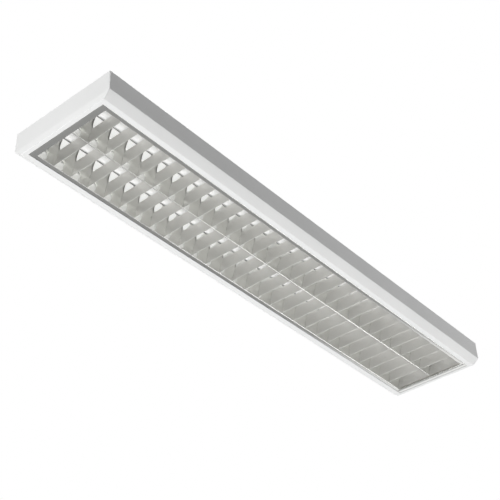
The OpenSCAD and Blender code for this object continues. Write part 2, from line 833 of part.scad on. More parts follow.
blades(1);  // blades_left
blades(-1);  // blades_right
louvre_end(-1);  // louvre_end_near
louvre_end(1);  // louvre_end_far
hinge_pin(-1);  // hinge_pin_near
hinge_pin(1);  // hinge_pin_far
catch_clip(-1);  // catch_clip_near
catch_clip(1);  // catch_clip_far
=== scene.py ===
import json

import bmesh
import bpy
import numpy as np
from mathutils import Matrix


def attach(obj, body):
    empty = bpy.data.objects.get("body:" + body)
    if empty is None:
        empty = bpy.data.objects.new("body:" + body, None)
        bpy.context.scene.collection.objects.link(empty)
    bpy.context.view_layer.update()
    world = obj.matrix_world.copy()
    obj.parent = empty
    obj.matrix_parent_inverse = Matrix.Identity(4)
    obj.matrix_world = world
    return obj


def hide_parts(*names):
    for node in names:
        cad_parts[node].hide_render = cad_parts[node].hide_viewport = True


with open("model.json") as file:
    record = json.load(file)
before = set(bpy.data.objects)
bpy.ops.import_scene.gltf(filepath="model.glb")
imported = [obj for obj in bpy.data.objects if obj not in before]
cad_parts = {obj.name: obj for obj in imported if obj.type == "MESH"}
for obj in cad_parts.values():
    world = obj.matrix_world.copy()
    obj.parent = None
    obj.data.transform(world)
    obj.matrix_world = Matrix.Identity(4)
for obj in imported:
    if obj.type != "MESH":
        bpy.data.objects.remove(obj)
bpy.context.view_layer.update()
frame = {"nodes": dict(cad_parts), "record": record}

# Camera
# The photograph looks up at the light from beyond its near end, with the
# right-hand wall on the right. The place, the turn and the focal length come
# from fitting the real 1500 x 300 x 70 mm box to the edges in the picture.
photo_px = 500.0
focal_px = 1115.1
centre_px = (235.0, 230.0)
sensor_mm = 36.0
camera_place = (-1.8818, -1.3913, -1.7198)
look_up, look_across, camera_roll = np.radians((37.592, 39.071, -2.274))

ahead = np.array((np.cos(look_across), np.sin(look_across), 0.0))
above = np.array((0.0, 0.0, 1.0))
level_right = np.array((ahead[1], -ahead[0], 0.0))
level_down = ahead * np.sin(look_up) - above * np.cos(look_up)
forward = ahead * np.cos(look_up) + above * np.sin(look_up)
right = np.cos(camera_roll) * level_right - np.sin(camera_roll) * level_down
down = np.sin(camera_roll) * level_right + np.cos(camera_roll) * level_down

lens = bpy.data.cameras.new("photo_camera")
lens.sensor_width = sensor_mm
lens.lens = focal_px * sensor_mm / photo_px
lens.shift_x = 0.5 - centre_px[0] / photo_px
lens.shift_y = centre_px[1] / photo_px - 0.5
lens.clip_start, lens.clip_end = 0.05, 100.0
camera = bpy.data.objects.new("photo_camera", lens)
turn = Matrix([[right[i], -down[i], -forward[i]] for i in range(3)])
camera.matrix_world = Matrix.Translation(camera_place) @ turn.to_4x4()
bpy.context.scene.collection.objects.link(camera)
bpy.context.scene.camera = camera

# Floor and air
# A plain pale floor, as far below the light as a hall's, so that no view from
# underneath meets it, with a faint glow of its own where it is looked at or
# mirrored. The air is white where the camera or a shiny surface looks, and a
# dimmer soft white where it only lights the object.
floor_z = -4.5
floor_half = 7.0
air_glow = 0.20
floor_glow = 0.45
floor_mirror_glow = 0.10

floor_mesh = bpy.data.meshes.new("floor")
corners = ((-1, -1), (1, -1), (1, 1), (-1, 1))
floor_mesh.from_pydata(
    [(x * floor_half, y * floor_half, floor_z) for x, y in corners], [], [(0, 1, 2, 3)])
floor = bpy.data.objects.new("floor", floor_mesh)
bpy.context.scene.collection.objects.link(floor)

pale_floor = bpy.data.materials.new("pale_floor")
pale_floor.use_nodes = True
floor_nodes, floor_links = pale_floor.node_tree.nodes, pale_floor.node_tree.links
floor_paint = floor_nodes["Principled BSDF"]
floor_paint.inputs["Base Color"].default_value = (0.72, 0.72, 0.715, 1.0)
floor_paint.inputs["Roughness"].default_value = 0.9
floor_paint.inputs["Specular IOR Level"].default_value = 0.1
floor_paint.inputs["Emission Color"].default_value = (1.0, 1.0, 1.0, 1.0)
floor_eye = floor_nodes.new("ShaderNodeLightPath")
floor_mirrored = floor_nodes.new("ShaderNodeMath")
floor_mirrored.operation = "MULTIPLY"
floor_mirrored.inputs[1].default_value = floor_mirror_glow
floor_lift = floor_nodes.new("ShaderNodeMath")
floor_lift.operation = "MULTIPLY_ADD"
floor_lift.inputs[1].default_value = floor_glow
floor_links.new(floor_eye.outputs["Is Glossy Ray"], floor_mirrored.inputs[0])
floor_links.new(floor_eye.outputs["Is Camera Ray"], floor_lift.inputs[0])
floor_links.new(floor_mirrored.outputs[0], floor_lift.inputs[2])
floor_links.new(floor_lift.outputs[0], floor_paint.inputs["Emission Strength"])
floor_mesh.materials.append(pale_floor)

air = bpy.data.worlds.new("studio_air")
air.use_nodes = True
bpy.context.scene.world = air
air_nodes, air_links = air.node_tree.nodes, air.node_tree.links
air_nodes.clear()
air_path = air_nodes.new("ShaderNodeLightPath")
looked_at = air_nodes.new("ShaderNodeMath")
looked_at.operation = "MAXIMUM"
looked_through = air_nodes.new("ShaderNodeMath")
looked_through.operation = "MAXIMUM"
level = air_nodes.new("ShaderNodeMapRange")
level.inputs["To Min"].default_value = air_glow
level.inputs["To Max"].default_value = 1.0
air_light = air_nodes.new("ShaderNodeBackground")
air_light.inputs["Color"].default_value = (1.0, 1.0, 1.0, 1.0)
air_out = air_nodes.new("ShaderNodeOutputWorld")
air_links.new(air_path.outputs["Is Camera Ray"], looked_at.inputs[0])
air_links.new(air_path.outputs["Is Glossy Ray"], looked_at.inputs[1])
air_links.new(looked_at.outputs[0], looked_through.inputs[0])
air_links.new(air_path.outputs["Is Transmission Ray"], looked_through.inputs[1])
air_links.new(looked_through.outputs[0], level.inputs["Value"])
air_links.new(level.outputs["Result"], air_light.inputs["Strength"])
air_links.new(air_light.outputs["Background"], air_out.inputs["Surface"])
bpy.context.scene.view_settings.view_transform = "Standard"

# Studio lamps
# Six square soft lamps. Three stand below: the main one for the rim, a fill for
# the right-hand side, and one past the far end that draws the ridge's bright
# line. One stands beyond the near end, one off the far corner, one overhead.


def soft_lamp(name, place, aim, size, watts):
    """A square lamp of that size at place, facing the point aim."""
    steep = 0.9
    lamp = bpy.data.lights.new(name, "AREA")
    lamp.shape = "SQUARE"
    lamp.size = size
    lamp.energy = watts
    holder = bpy.data.objects.new(name, lamp)
    back = np.subtract(place, aim)
    back = back / np.linalg.norm(back)
    side = np.cross((0.0, 1.0, 0.0) if abs(back[2]) > steep else (0.0, 0.0, 1.0), back)
    side = side / np.linalg.norm(side)
    up = np.cross(back, side)
    turned = Matrix([[side[i], up[i], back[i]] for i in range(3)])
    holder.matrix_world = Matrix.Translation(place) @ turned.to_4x4()
    bpy.context.scene.collection.objects.link(holder)


soft_lamp("lamp_below", (-1.6, 0.4, -3.9), (0.0, 0.0, 0.0), 2.8, 127.0)
soft_lamp("lamp_near_end", (-4.2, 0.6, 0.85), (-0.75, 0.0, 0.0), 1.6, 76.0)
soft_lamp("lamp_far_corner", (2.2, -1.6, -0.3), (0.75, -0.15, -0.04), 0.8, 8.0)
soft_lamp("lamp_right_below", (2.4, -2.3, -3.0), (0.0, 0.0, 0.0), 3.0, 21.0)
soft_lamp("lamp_far_below", (2.6, 0.0, -2.8), (0.0, 0.0, 0.0), 1.5, 26.0)
soft_lamp("lamp_overhead", (0.6, 0.2, 3.6), (0.0, 0.0, 0.0), 2.4, 45.0)

# Folded steel shell
# One sheet of 1 mm steel, folded to a flat back, upright walls, a bevel and a
# flat rim along each side, then powder-coated white. Four slots take the
# ceiling screws, and a hole in the back takes the cable grommet.
body_l, body_w, body_h = 1.500, 0.300, 0.070
sheet_t = 0.001
bevel_w, bevel_h = 0.019, 0.0165
rim_w = 0.0134
bend_r = 0.002
end_lean, end_rim_w = 0.0027, 0.0105
half_l, half_w = body_l / 2, body_w / 2
open_y = half_w - bevel_w - rim_w
open_x = half_l - end_lean - end_rim_w
fix_x, fix_y = 1.200, 0.220
slot_w, slot_l = 0.0065, 0.020
entry_x, grommet_r = 0.040, 0.009
punch_reach = 0.004
crease = np.radians(30)


def rounded(points, radius, steps=6):
    """The open path through points, each inner corner replaced by an arc of that radius."""
    points = [np.array(point, float) for point in points]
    path = [points[0][None]]
    for before, corner, after in zip(points[:-2], points[1:-1], points[2:]):
        one = (before - corner) / np.linalg.norm(before - corner)
        two = (after - corner) / np.linalg.norm(after - corner)
        half_angle = np.arccos(np.clip(one @ two, -1, 1)) / 2
        middle = (one + two) / np.linalg.norm(one + two)
        centre = corner + middle * radius / np.sin(half_angle)
        start = corner + one * radius / np.tan(half_angle) - centre
        end = corner + two * radius / np.tan(half_angle) - centre
        share = np.linspace(0, 1, steps)[:, None]
        arm = start * (1 - share) + end * share
        path.append(centre + arm * radius / np.linalg.norm(arm, axis=1)[:, None])
    path.append(points[-1][None])
    return np.vstack(path)


def woven(rows, columns, shut=False):
    """The quads of a grid of points whose rows are rings, the last joined to the first if shut."""
    at = np.arange(rows * columns).reshape(rows, columns)
    if shut:
        at = np.vstack([at, at[:1]])
    after = np.roll(at, -1, axis=1)
    return np.stack([at[:-1], after[:-1], after[1:], at[1:]], -1).reshape(-1, 4).tolist()


def beside(path, thickness):
    """The path moved to its left by the thickness, along the mean normal at each point."""
    step = np.diff(path, axis=0)
    step /= np.linalg.norm(step, axis=1)[:, None]
    left = np.stack([-step[:, 1], step[:, 0]], 1)
    normal = np.vstack([left[:1], left[:-1] + left[1:], left[-1:]])
    normal /= np.linalg.norm(normal, axis=1)[:, None]
    slant = np.concatenate([[1.0], (normal[1:-1] * left[1:]).sum(1), [1.0]])[:, None]
    return path + normal * thickness / slant


def folded_sheet(name, path, thickness, reach, run="x", centre=0.0, cuts=(), kept=None):
    """A sheet bent along path, whose points are (across, height above the rim).

    Its other face is the path moved beside it by the thickness. Both faces are carried along
    the run by plus and minus reach, a length or a function of (across, height), about the
    centre. The cuts divide the run at shares of the reach, and kept, an array of run divisions
    by path segments, is 0 where the sheet is cut out. A wall closes each edge between a kept
    cell and none. The attribute fold is 1 on a bend and 0 on the flat.
    """
    full_bend = np.radians(6)
    lines = np.stack([path, beside(path, thickness)])
    across, height = lines[..., 0], lines[..., 1]
    half = reach(across, height) if callable(reach) else np.full(across.shape, reach)
    share = np.array([-1.0, *cuts, 1.0])
    along = centre + share[:, None, None] * half
    across, height = (np.broadcast_to(part, along.shape) for part in (across, height - body_h))
    order = (along, across, height) if run == "x" else (across, along, height)
    at = np.arange(along.size).reshape(along.shape)
    one, two = at[:, 0], at[:, 1]
    keep = np.ones((len(share) - 1, len(path) - 1), int) if kept is None else kept
    cells = [np.stack([one[:-1, :-1], one[1:, :-1], one[1:, 1:], one[:-1, 1:]], -1)[keep > 0],
             np.stack([two[:-1, :-1], two[:-1, 1:], two[1:, 1:], two[1:, :-1]], -1)[keep > 0]]
    for axis, wall in ((0, np.stack([one[:, :-1], one[:, 1:], two[:, 1:], two[:, :-1]], -1)),
                       (1, np.stack([one[:-1], two[:-1], two[1:], one[1:]], -1))):
        change = np.diff(np.pad(keep, [(1 - axis, 1 - axis), (axis, axis)]), axis=axis)
        cells += [wall[change > 0], wall[change < 0][:, ::-1]]
    faces = np.vstack(cells)[:, ::-1 if run == "x" else 1]
    mesh = bpy.data.meshes.new(name)
    mesh.from_pydata(np.stack(order, -1).reshape(-1, 3).tolist(), [], faces.tolist())
    step = np.diff(path, axis=0)
    step /= np.linalg.norm(step, axis=1)[:, None]
    turning = np.arccos(np.clip((step[:-1] * step[1:]).sum(1), -1, 1))
    bent = np.concatenate([[0.0], np.clip(turning / full_bend, 0, 1), [0.0]])
    fold = mesh.attributes.new("fold", "FLOAT", "POINT")
    fold.data.foreach_set("value", np.tile(bent, 2 * len(share)).astype(np.float32))
    return mesh


def fitted(name, mesh, body, finish, nodes=()):
    """Turns the faces outwards, smooths all but the creases, and hands the piece over."""
    weld = 1e-7
    tidy = bmesh.new()
    tidy.from_mesh(mesh)
    loose = [vert for vert in tidy.verts if not vert.link_faces]
    bmesh.ops.delete(tidy, geom=loose, context="VERTS")
    bmesh.ops.remove_doubles(tidy, verts=tidy.verts, dist=weld)
    bmesh.ops.recalc_face_normals(tidy, faces=tidy.faces)
    tidy.to_mesh(mesh)
    tidy.free()
    mesh.shade_smooth()
    mesh.set_sharp_from_angle(angle=crease)
    mesh.materials.append(finish)
    piece = bpy.data.objects.new(name, mesh)
    bpy.context.scene.collection.objects.link(piece)
    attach(piece, body)
    if nodes:
        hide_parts(*nodes)


def pierced(mesh, outlines, reach):
    """The mesh less a prism over each outline, a ring of (x, y) points, by reach up and down."""
    body = bpy.data.objects.new("blank", mesh)
    bpy.context.scene.collection.objects.link(body)
    punches = []
    for ring in outlines:
        count = len(ring)
        points = np.vstack([np.column_stack([ring, np.full(count, z)]) for z in (-reach, reach)])
        faces = woven(2, count) + [list(range(count))[::-1], list(range(count, 2 * count))]
        punch = bpy.data.meshes.new("punch")
        punch.from_pydata(points.tolist(), [], faces)
        tool = bpy.data.objects.new("punch", punch)
        bpy.context.scene.collection.objects.link(tool)
        cut = body.modifiers.new("cut", "BOOLEAN")
        cut.solver = "EXACT"
        cut.object = tool
        punches.append(tool)
    bpy.context.view_layer.update()
    graph = bpy.context.evaluated_depsgraph_get()
    done = bpy.data.meshes.new_from_object(body.evaluated_get(graph))
    for made in [body] + punches:
        bpy.data.objects.remove(made)
    return done


def oblong(centre, length, width, steps=12):
    """A ring of (x, y) points: a straight-sided slot along X with half-round ends."""
    turn = np.linspace(-np.pi / 2, np.pi / 2, steps)
    end = np.stack([np.cos(turn), np.sin(turn)], 1) * width / 2 + [(length - width) / 2, 0]
    return np.vstack([end, -end]) + centre


def effect(name, inputs, outputs):
    """An empty shader node group with those named sockets, and its own input and output."""
    tree = bpy.data.node_groups.new(name, "ShaderNodeTree")
    for label, kind, value in inputs:
        socket = tree.interface.new_socket(label, in_out="INPUT", socket_type="NodeSocket" + kind)
        if value is not None:
            socket.default_value = value
    for label, kind in outputs:
        tree.interface.new_socket(label, in_out="OUTPUT", socket_type="NodeSocket" + kind)
    return tree, tree.nodes.new("NodeGroupInput"), tree.nodes.new("NodeGroupOutput")


def noise_in(tree, place, scale, detail, rough=0.5):
    """A noise texture in the tree at that scale, read at place."""
    noise = tree.nodes.new("ShaderNodeTexNoise")
    noise.inputs["Scale"].default_value = scale
    noise.inputs["Detail"].default_value = detail
    noise.inputs["Roughness"].default_value = rough
    tree.links.new(place, noise.inputs["Vector"])
    return noise.outputs["Fac"]


def ranged(tree, value, low, high):
    """A noise value's usual part, spread from low to high."""
    start, stop = 0.3, 0.7
    spread = tree.nodes.new("ShaderNodeMapRange")
    spread.inputs["From Min"].default_value = start
    spread.inputs["From Max"].default_value = stop
    tree.links.new(value, spread.inputs["Value"])
    spread.inputs["To Min"].default_value = low
    spread.inputs["To Max"].default_value = high
    return spread.outputs["Result"]


def mixed(tree, share, one, two):
    """The colour at socket one where the share is 0, and the one at socket two where it is 1."""
    mix = tree.nodes.new("ShaderNodeMix")
    mix.data_type = "RGBA"
    tree.links.new(share, mix.inputs["Factor"])
    tree.links.new(one, mix.inputs[6])
    tree.links.new(two, mix.inputs[7])
    return mix.outputs[2]


def added(tree, one, two):
    """The sum of two values."""
    total = tree.nodes.new("ShaderNodeMath")
    total.operation = "ADD"
    tree.links.new(one, total.inputs[0])
    tree.links.new(two, total.inputs[1])
    return total.outputs[0]


# Powder coat: fine orange peel, faint clouds where the powder lay thicker, and a tighter,
# glossier film round the folds.
coat_fold_gloss = -0.08
coat_skin, coat_in, coat_out = effect(
    "coat_skin",
    [("Place", "Vector", None), ("Tone", "Color", (0.8, 0.8, 0.8, 1)),
     ("Thin Tone", "Color", (0.75, 0.75, 0.75, 1)), ("Gloss", "Float", 0.35),
     ("Fold", "Float", 0.0)],
    [("Colour", "Color"), ("Roughness", "Float"), ("Height", "Float")])
coat_place = coat_in.outputs["Place"]
coat_cloud = ranged(coat_skin, noise_in(coat_skin, coat_place, scale=9.0, detail=3.0), 0.0, 1.0)
coat_peel = noise_in(coat_skin, coat_place, scale=620.0, detail=2.0)
coat_grit = noise_in(coat_skin, coat_place, scale=2600.0, detail=1.0)
coat_skin.links.new(
    mixed(coat_skin, coat_cloud, coat_in.outputs["Tone"], coat_in.outputs["Thin Tone"]),
    coat_out.inputs["Colour"])
coat_rough = coat_skin.nodes.new("ShaderNodeMath")
coat_rough.operation = "MULTIPLY_ADD"
coat_skin.links.new(coat_in.outputs["Fold"], coat_rough.inputs[0])
coat_rough.inputs[1].default_value = coat_fold_gloss
coat_skin.links.new(
    added(coat_skin, coat_in.outputs["Gloss"], ranged(coat_skin, coat_grit, -0.03, 0.05)),
    coat_rough.inputs[2])
coat_skin.links.new(coat_rough.outputs[0], coat_out.inputs["Roughness"])
coat_skin.links.new(
    added(coat_skin, coat_peel, ranged(coat_skin, coat_grit, 0.0, 0.25)),
    coat_out.inputs["Height"])


def surfaced(name, skin, values, relief, metallic=0.0):
    """A material whose colour, roughness and relief a skin group gives, read in object space."""
    material = bpy.data.materials.new(name)
    material.use_nodes = True
    nodes, links = material.node_tree.nodes, material.node_tree.links
    shader = nodes["Principled BSDF"]
    shader.inputs["Metallic"].default_value = metallic
    place = nodes.new("ShaderNodeTexCoord")
    group = nodes.new("ShaderNodeGroup")
    group.node_tree = skin
    links.new(place.outputs["Object"], group.inputs["Place"])
    for label, value in values.items():
        group.inputs[label].default_value = value
    if "Fold" in group.inputs:
        fold = nodes.new("ShaderNodeAttribute")
        fold.attribute_name = "fold"
        links.new(fold.outputs["Fac"], group.inputs["Fold"])
    bump = nodes.new("ShaderNodeBump")
    bump.inputs["Distance"].default_value = relief
    links.new(group.outputs["Height"], bump.inputs["Height"])
    links.new(group.outputs["Colour"], shader.inputs["Base Color"])
    links.new(group.outputs["Roughness"], shader.inputs["Roughness"])
    links.new(bump.outputs["Normal"], shader.inputs["Normal"])
    return material


def painted(name, tone, thin_tone, gloss, relief):
    """A coated metal of that tone, and of the thin tone where the coat is thin."""
    return surfaced(
        name, coat_skin, {"Tone": (*tone, 1), "Thin Tone": (*thin_tone, 1), "Gloss": gloss}, relief)


powder_white = painted(
    "powder_white", (0.85, 0.855, 0.85), (0.82, 0.825, 0.82), gloss=0.36, relief=0.00002)

shell_path = rounded(
    [(open_y, 0), (half_w - bevel_w, 0), (half_w, bevel_h), (half_w, body_h),
     (-half_w, body_h), (-half_w, bevel_h), (-half_w + bevel_w, 0), (-open_y, 0)],
    bend_r)
end_path = rounded(
    [(open_x, 0), (half_l - end_lean, 0), (half_l, bevel_h), (half_l, body_h)], bend_r)
inside = beside(end_path, sheet_t)[1:]
shell_sheet = folded_sheet(
    "folded_shell", shell_path, sheet_t,
    lambda across, height: np.interp(height, inside[:, 1], inside[:, 0]))
punches = [oblong((x, y), slot_l, slot_w)
           for x in (-fix_x / 2, fix_x / 2) for y in (-fix_y / 2, fix_y / 2)]
punches.append(oblong((-entry_x, 0), 2 * grommet_r, 2 * grommet_r, 24))
shell_sheet = pierced(shell_sheet, punches, punch_reach)
fitted("folded_shell", shell_sheet, "housing", powder_white, ["housing_shell"])

# Pressed ends
# A pressed cover of the same steel closes each end. Its foot leans in and turns
# under to make the end rim between the shell's, and a flange along the back and
# one down each side are spot-welded inside the shell.
cap_flange, flange_inset, flange_end = 0.010, 0.002, 0.004
seam = 2e-6
side_line = shell_path[:len(shell_path) // 2][6:]


def cap_reach(across, height):
    """Half the cap's width: the opening's on the rim, and the shell's outline beyond it."""
    outline = np.interp(height, side_line[:, 1], side_line[:, 0])
    return np.where(np.abs(across) < inside[0, 0], open_y, outline)


for side, end in ((-1, "near"), (1, "far")):
    rim_end = inside[0, 0]
    under = [(open_x, 0), (rim_end - seam, 0), (rim_end + seam, 0)]
    path = (np.vstack([under, end_path[2:]]) * (side, 1))[::side]
    cover = folded_sheet("end_" + end, path, sheet_t, cap_reach, run="y")
    fitted("end_" + end, cover, "housing", powder_white, ["end_cap_" + end])
    inner_x = half_l - sheet_t
    back = np.array([(inner_x - cap_flange, body_h - sheet_t), (inner_x, body_h - sheet_t)])
    flange = folded_sheet("flange", (back * (side, 1))[::-side], sheet_t,
                          half_w - sheet_t - flange_inset, run="y")
    fitted(f"end_flange_{end}_back", flange, "housing", powder_white)
    low, high = bevel_h + flange_end, body_h - sheet_t - flange_end
    for way, row in ((1, "left"), (-1, "right")):
        y = way * (half_w - sheet_t)
        line = np.array([(y, low), (y, high)])[::way]
        middle = side * (inner_x - cap_flange / 2)
        flange = folded_sheet("flange", line, sheet_t, cap_flange / 2, centre=middle)
        fitted(f"end_flange_{end}_{row}", flange, "housing", powder_white)

# Louvre reflectors
# Rolled from 0.5 mm anodised aluminium with a soft mirror finish: a side
# reflector along each edge, with a flange and a turned-up lip, and one sheet
# folded along the middle whose two wings are the inner walls of both troughs.
louvre_gap, foil_t = 0.0008, 0.0005
flange_lift, flange_w, lip_h = 0.0007, 0.0101, 0.011
foil_bend = 0.00085
ridge_rise, ridge_w = 0.0069, 0.0018
tunnel_w, reflector_top, curve_power = 0.0640, 0.062, 3.0
end_strip, end_gap = 0.017, 0.0001
cell_pitch = 0.0514
tab_rise, tab_w, tab_l, tab_gap = 0.020, 0.005, 0.0012, 0.00015
blade_h, blade_fold, blade_flare, flare_power = 0.0361, 0.0006, 0.004, 1.8
louvre_x, louvre_y = open_x - louvre_gap, open_y - louvre_gap
trough_y = louvre_y - flange_w
row_y = (trough_y + ridge_w / 2) / 2
wall_x = louvre_x - end_strip
cells = round(2 * wall_x / cell_pitch)
pitch = 2 * wall_x / cells
tab_z = ridge_rise + tab_rise
slot_low, slot_high = tab_z - tab_gap, tab_z + tab_w + tab_gap
reflector_steps = 28


def trough(height):
    """Half a trough's width at a height: the rim's, less a share that grows as its cube."""
    lean = (tunnel_w - ridge_w) / 2
    return row_y - ridge_w / 2 - lean * (height / reflector_top) ** curve_power


def blade(rise):
    """Half a blade's width at a rise above its fold, where it flares to its open top."""
    return blade_fold / 2 + (blade_flare - blade_fold) / 2 * (rise / blade_h) ** flare_power


def wall_levels(low):
    """Heights down a reflector's curve to a fold at height low, the slots' edges among them."""
    curve = np.linspace(low + foil_bend, reflector_top, reflector_steps)
    return np.unique([*curve, slot_low, slot_high])[::-1]


def slotted(name, path):
    """A reflector folded along path, with a slot at each blade for its tab."""
    reach = wall_x - end_gap
    slot_x = blade(tab_rise + tab_w) + tab_gap
    middles = -wall_x + pitch * np.arange(1, cells)
    cuts = (middles[:, None] + [-slot_x, slot_x]).ravel() / reach
    middle_height = (path[:-1, 1] + path[1:, 1]) / 2
    band = (middle_height > slot_low) & (middle_height < slot_high)
    kept = np.ones((len(cuts) + 1, len(path) - 1), int)
    kept[1::2, band] = 0
    return folded_sheet(name, path, foil_t, reach, cuts=cuts, kept=kept)


# Rolled or turned metal: fine lines along its grain, faint clouds, and a duller skin along
# the folds.
sheet_fold_dulling = 0.06
sheet_skin, sheet_in, sheet_out = effect(
    "sheet_skin",
    [("Place", "Vector", None), ("Tone", "Color", (0.8, 0.8, 0.8, 1)),
     ("Cloud Tone", "Color", (0.75, 0.75, 0.75, 1)), ("Lines", "Vector", (6, 900, 900)),
     ("Gloss", "Float", 0.2), ("Spread", "Float", 0.05), ("Fold", "Float", 0.0)],
    [("Colour", "Color"), ("Roughness", "Float"), ("Height", "Float")])
sheet_stretch = sheet_skin.nodes.new("ShaderNodeVectorMath")
sheet_stretch.operation = "MULTIPLY"
sheet_skin.links.new(sheet_in.outputs["Place"], sheet_stretch.inputs[0])
sheet_skin.links.new(sheet_in.outputs["Lines"], sheet_stretch.inputs[1])
sheet_lines = noise_in(sheet_skin, sheet_stretch.outputs[0], scale=1.0, detail=4.0, rough=0.6)
sheet_cloud = noise_in(sheet_skin, sheet_in.outputs["Place"], scale=14.0, detail=3.0)
sheet_skin.links.new(
    mixed(sheet_skin, ranged(sheet_skin, sheet_cloud, 0.0, 1.0), sheet_in.outputs["Tone"],
          sheet_in.outputs["Cloud Tone"]),
    sheet_out.inputs["Colour"])
sheet_share = sheet_skin.nodes.new("ShaderNodeMath")
sheet_share.operation = "MULTIPLY_ADD"
sheet_skin.links.new(ranged(sheet_skin, sheet_lines, -1.0, 1.0), sheet_share.inputs[0])
sheet_skin.links.new(sheet_in.outputs["Spread"], sheet_share.inputs[1])
sheet_skin.links.new(sheet_in.outputs["Gloss"], sheet_share.inputs[2])
sheet_rough = sheet_skin.nodes.new("ShaderNodeMath")
sheet_rough.operation = "MULTIPLY_ADD"
sheet_skin.links.new(sheet_in.outputs["Fold"], sheet_rough.inputs[0])
sheet_rough.inputs[1].default_value = sheet_fold_dulling
sheet_skin.links.new(sheet_share.outputs[0], sheet_rough.inputs[2])
sheet_skin.links.new(sheet_rough.outputs[0], sheet_out.inputs["Roughness"])
sheet_skin.links.new(sheet_lines, sheet_out.inputs["Height"])


def bare_metal(name, tone, cloud_tone, lines, gloss, spread, relief):
    """A bare metal, its grain that fine along each axis, its gloss uneven by the spread."""
    return surfaced(
        name, sheet_skin,
        {"Tone": (*tone, 1), "Cloud Tone": (*cloud_tone, 1), "Lines": lines, "Gloss": gloss,
         "Spread": spread}, relief, metallic=1.0)


satin_aluminium = bare_metal(
    "satin_aluminium", (0.83, 0.835, 0.815), (0.80, 0.805, 0.785), lines=(5, 1400, 1400),
    gloss=0.09, spread=0.02, relief=0.0000003)

side_path = np.vstack([
    [(row_y + trough(h), h) for h in wall_levels(flange_lift)][:-1],
    rounded([(trough_y, flange_lift + 2 * foil_bend), (trough_y, flange_lift),
             (louvre_y, flange_lift), (louvre_y, flange_lift + lip_h / 2)], foil_bend)[1:]])
for side, name in ((1, "reflector_left"), (-1, "reflector_right")):
    fitted("rolled_" + name, slotted(name, (side_path * (side, 1))[::side]), "louvre",
           satin_aluminium, [name])

wing = np.array([(trough(h) - row_y, h) for h in wall_levels(ridge_rise)])
fold = rounded([wing[-1], (-ridge_w / 2, ridge_rise), (ridge_w / 2, ridge_rise),
                (-wing[-1][0], wing[-1][1])], foil_bend)
middle_path = np.vstack([wing[:-1], fold[1:-1], (wing * (-1, 1))[-2::-1]])
fitted("rolled_reflector_middle", slotted("reflector_middle", middle_path), "louvre",
       satin_aluminium, ["reflector_middle"])

# V blades
# Each blade is a strip of 0.3 mm aluminium folded to a V that flares open at
# the top. Twenty-seven stand across each trough, cut to the reflectors' curve,
# with a tab at both ends that is pushed through a slot in the reflector. The
# strip is drawn 0.02 mm thinner, so that the inside of its fold isn't a point.
blade_t = 0.00028
seat_gap = 0.00015
tab_edge = 0.00005
blade_steps, nose_steps = 14, 9


def blade_reach(across, height):
    """Half a blade's length at a height: to the reflector, or in the tab's band to its end."""
    tab = trough(tab_z) + foil_t + tab_l
    return np.where((height > tab_z) & (height < tab_z + tab_w), tab, trough(height) - seat_gap)


def repeated(name, mesh, moves):
    """One mesh that holds a copy of the given mesh at each move."""
    count = len(mesh.vertices)
    points = np.empty(3 * count, np.float32)
    mesh.vertices.foreach_get("co", points)
    bent = np.empty(count, np.float32)
    mesh.attributes["fold"].data.foreach_get("value", bent)
    faces = np.array([tuple(face.vertices) for face in mesh.polygons])
    shifts = np.arange(len(moves))[:, None, None] * count
    points = (points.reshape(1, -1, 3) + np.array(moves)[:, None]).reshape(-1, 3)
    whole = bpy.data.meshes.new(name)
    whole.from_pydata(points.tolist(), [], (faces[None] + shifts).reshape(-1, 4).tolist())
    fold = whole.attributes.new("fold", "FLOAT", "POINT")
    fold.data.foreach_set("value", np.tile(bent, len(moves)))
    return whole


blade_aluminium = bare_metal(
    "blade_aluminium", (0.800, 0.795, 0.775), (0.760, 0.755, 0.735), lines=(1400, 5, 1400),
    gloss=0.55, spread=0.03, relief=0.000001)

tab_edges = [edge + way * tab_edge for edge in (tab_rise, tab_rise + tab_w) for way in (-1, 1)]
rise = np.unique([*np.linspace(blade_fold / 2, blade_h, blade_steps), *tab_edges])[::-1]
flank = np.stack([-blade(rise), ridge_rise + rise], 1)
sweep = np.linspace(np.pi, 2 * np.pi, nose_steps)[1:-1]
nose = np.stack([np.cos(sweep), np.sin(sweep) + 1], 1) * blade_fold / 2 + (0, ridge_rise)
blade_path = np.vstack([flank, nose, (flank * (-1, 1))[::-1]])
stations = [(-wall_x + i * pitch, 0.0, 0.0) for i in range(1, cells)]
for side, name in ((1, "blades_left"), (-1, "blades_right")):
    strip = folded_sheet(name, blade_path, blade_t, blade_reach, run="y", centre=side * row_y)
    fitted("folded_" + name, repeated(name, strip, stations), "louvre",
           blade_aluminium, [name])

# Louvre ends
# A strip of the reflectors' sheet runs across each end, with a flat foot and a
# turned-up edge for the hinge pin and the catch. Half a blade, in the blades'
# duller finish, stands on the foot's inner edge.
for side, end in ((-1, "near"), (1, "far")):
    rise = np.linspace(blade_h, 0, blade_steps)
    wall = np.stack([wall_x + blade(rise) - blade_fold / 2, ridge_rise + rise], 1)
    foot = rounded([wall[-1], (wall_x, flange_lift), (louvre_x, flange_lift),
                    (louvre_x, flange_lift + lip_h)], foil_bend)
    for name, line, slot, finish in (("foot", foot, "satin_aluminium", satin_aluminium),
                                     ("wall", wall, "blade_aluminium", blade_aluminium)):
        plate = folded_sheet(
            f"louvre_{name}_{end}", (line * (side, 1))[::side], foil_t, louvre_y, run="y")
        fitted(f"folded_louvre_{name}_{end}", plate, "louvre", finish,
               ["louvre_end_" + end])

